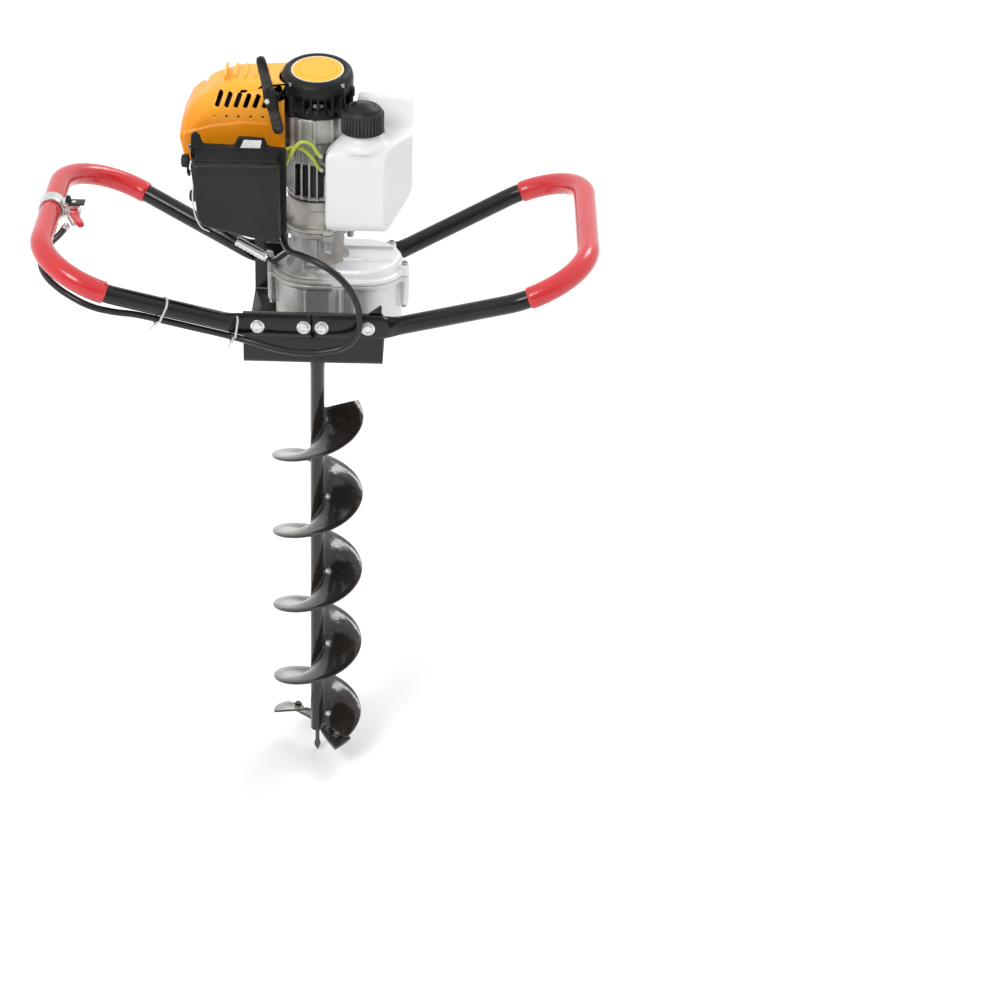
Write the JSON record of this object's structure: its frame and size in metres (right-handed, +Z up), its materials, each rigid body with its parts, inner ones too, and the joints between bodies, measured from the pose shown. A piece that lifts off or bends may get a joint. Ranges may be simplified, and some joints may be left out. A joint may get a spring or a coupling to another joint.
{
  "type": "ice auger",
  "caption": "Petrol ice auger with looped grips, a steel bracket, a reduction gearbox, a two-stroke power head and one screw bit.",
  "frame": {"origin": "on the bit axis, midway between the two grips and level with their outer bars", "axes": "+Z up along the bit axis away from the tip, +Y from the cable side of the bracket towards the muffler side, +X towards the fuel tank"},
  "size_m": [0.7614, 0.3806, 1.1236],
  "materials": {
    "black_paint": "glossy black stoving paint",
    "red_grip": "glossy red vinyl",
    "cast_alloy": "as-cast, lightly blasted",
    "gear_steel": "machined",
    "zinc_plate": "bright zinc plate",
    "orange_plastic": "moulded orange",
    "black_plastic": "moulded, lightly grained",
    "clear_yellow": "soft clear yellow-green",
    "black_rubber": "smooth black",
    "filter_foam": "open foam",
    "white_tank": "milky translucent",
    "flight_steel": "dark glossy paint",
    "blade_steel": "dark hardened steel"
  },
  "bodies": {
    "root": {"frame_bracket": "black_paint", "handle_left": "black_paint", "handle_right": "black_paint", "grip_left": "red_grip", "grip_right": "red_grip", "handle_bolt_front_1": "zinc_plate", "handle_bolt_front_2": "zinc_plate", "handle_bolt_front_3": "zinc_plate", "handle_bolt_front_4": "zinc_plate", "handle_bolt_back_1": "zinc_plate", "handle_bolt_back_2": "zinc_plate", "handle_bolt_back_3": "zinc_plate", "handle_bolt_back_4": "zinc_plate", "gearbox_lower_case": "cast_alloy", "gearbox_upper_case": "cast_alloy", "output_bearing": "gear_steel", "countershaft_bearing": "gear_steel", "input_bearing": "gear_steel", "clutch_housing": "cast_alloy", "crankcase": "cast_alloy", "crankshaft": "gear_steel", "connecting_rod": "gear_steel", "piston": "cast_alloy", "cylinder": "cast_alloy", "spark_plug": "gear_steel", "cylinder_cover": "orange_plastic", "muffler": "gear_steel", "starter_case": "black_plastic", "carburettor": "cast_alloy", "air_filter_base": "black_plastic", "air_filter_cover": "black_plastic", "filter_element": "filter_foam", "fuel_tank": "white_tank", "fuel_hose": "clear_yellow", "throttle_cable": "black_rubber", "trigger_clamp": "zinc_plate"},
    "auger": {"output_shaft": "gear_steel", "output_gear": "gear_steel", "auger_bit": "flight_steel", "coupling_pin": "zinc_plate", "cutting_blade_right": "blade_steel", "cutting_blade_left": "blade_steel", "pilot_tip": "blade_steel"},
    "countershaft": {"countershaft": "gear_steel", "countershaft_gear": "gear_steel"},
    "clutch_drum": {"clutch_drum": "gear_steel", "input_pinion": "gear_steel"},
    "engine_rotor": {"flywheel": "cast_alloy", "clutch_carrier": "gear_steel"},
    "clutch_shoe_1": {"clutch_shoe_1": "cast_alloy"},
    "clutch_shoe_2": {"clutch_shoe_2": "cast_alloy"},
    "starter_handle": {"starter_handle": "black_plastic", "starter_rope": "black_rubber"},
    "starter_reel": {"starter_reel": "black_plastic"},
    "throttle_trigger": {"throttle_trigger": "red_grip"},
    "throttle_lever": {"throttle_lever": "zinc_plate"},
    "choke_lever": {"choke_lever": "black_plastic"},
    "primer_bulb": {"primer_bulb": "clear_yellow"},
    "fuel_cap": {"fuel_cap": "black_plastic"},
    "stop_switch": {"stop_switch": "black_plastic"}
  },
  "joints": [
    {"name": "auger_spin", "type": "hinge", "parent": "root", "child": "auger", "pos_m": [0, 0, -0.16742], "axis": [0, 0, 1], "continuous": true},
    {"name": "countershaft_spin", "type": "hinge", "parent": "root", "child": "countershaft", "pos_m": [0.06, 0, -0.10742], "axis": [0, 0, 1], "continuous": true},
    {"name": "clutch_drum_spin", "type": "hinge", "parent": "root", "child": "clutch_drum", "pos_m": [0, 0, 0.00258], "axis": [0, 0, 1], "continuous": true},
    {"name": "engine_spin", "type": "hinge", "parent": "root", "child": "engine_rotor", "pos_m": [0, 0, 0.13258], "axis": [0, 0, 1], "continuous": true},
    {"name": "clutch_shoe_1_swing", "type": "hinge", "parent": "engine_rotor", "child": "clutch_shoe_1", "pos_m": [0.02523, 0.00629, 0.00958], "axis": [0, 0, -1], "range_deg": [0, 3], "stiffness_Nm_per_rad": 2},
    {"name": "clutch_shoe_2_swing", "type": "hinge", "parent": "engine_rotor", "child": "clutch_shoe_2", "pos_m": [-0.02523, -0.00629, 0.00958], "axis": [0, 0, -1], "range_deg": [0, 3], "stiffness_Nm_per_rad": 2},
    {"name": "starter_pull", "type": "slide", "parent": "root", "child": "starter_handle", "axis": [-0.45, -0.893, 0], "range_m": [0, 0.6], "stiffness_N_per_m": 20, "springref_m": -0.05},
    {"name": "starter_reel_spin", "type": "hinge", "parent": "root", "child": "starter_reel", "pos_m": [0, 0, 0.19058], "axis": [0, 0, 1], "range_deg": [0, 1330]},
    {"name": "throttle_trigger_pull", "type": "hinge", "parent": "root", "child": "throttle_trigger", "pos_m": [-0.333, 0.008, 0], "axis": [0, 0, -1], "range_deg": [0, 20], "stiffness_Nm_per_rad": 0.4},
    {"name": "throttle_lever_turn", "type": "hinge", "parent": "root", "child": "throttle_lever", "pos_m": [-0.077, -0.058, 0.09658], "axis": [0, 0, -1], "range_deg": [0, 70]},
    {"name": "choke_lever_turn", "type": "hinge", "parent": "root", "child": "choke_lever", "pos_m": [-0.165, -0.082, 0.09458], "axis": [-1, 0, 0], "range_deg": [0, 60]},
    {"name": "primer_bulb_press", "type": "slide", "parent": "root", "child": "primer_bulb", "axis": [0, 0, 1], "range_m": [0, 0.004], "stiffness_N_per_m": 300},
    {"name": "fuel_cap_turn", "type": "hinge", "parent": "root", "child": "fuel_cap", "pos_m": [0.062, -0.047, 0.15258], "axis": [0, 0, 1], "range_deg": [0, 340]},
    {"name": "stop_switch_press", "type": "slide", "parent": "root", "child": "stop_switch", "axis": [0, 0, -1], "range_m": [0, 0.0025], "stiffness_N_per_m": 400}
  ],
  "couplings": [
    {"joint": "countershaft_spin", "follows": "auger_spin", "ratio": -5},
    {"joint": "clutch_drum_spin", "follows": "auger_spin", "ratio": 28.333},
    {"joint": "clutch_shoe_2_swing", "follows": "clutch_shoe_1_swing", "ratio": 1},
    {"joint": "starter_reel_spin", "follows": "starter_pull", "rad_per_m": 38.462},
    {"joint": "throttle_lever_turn", "follows": "throttle_trigger_pull", "ratio": 3.5}
  ]
}
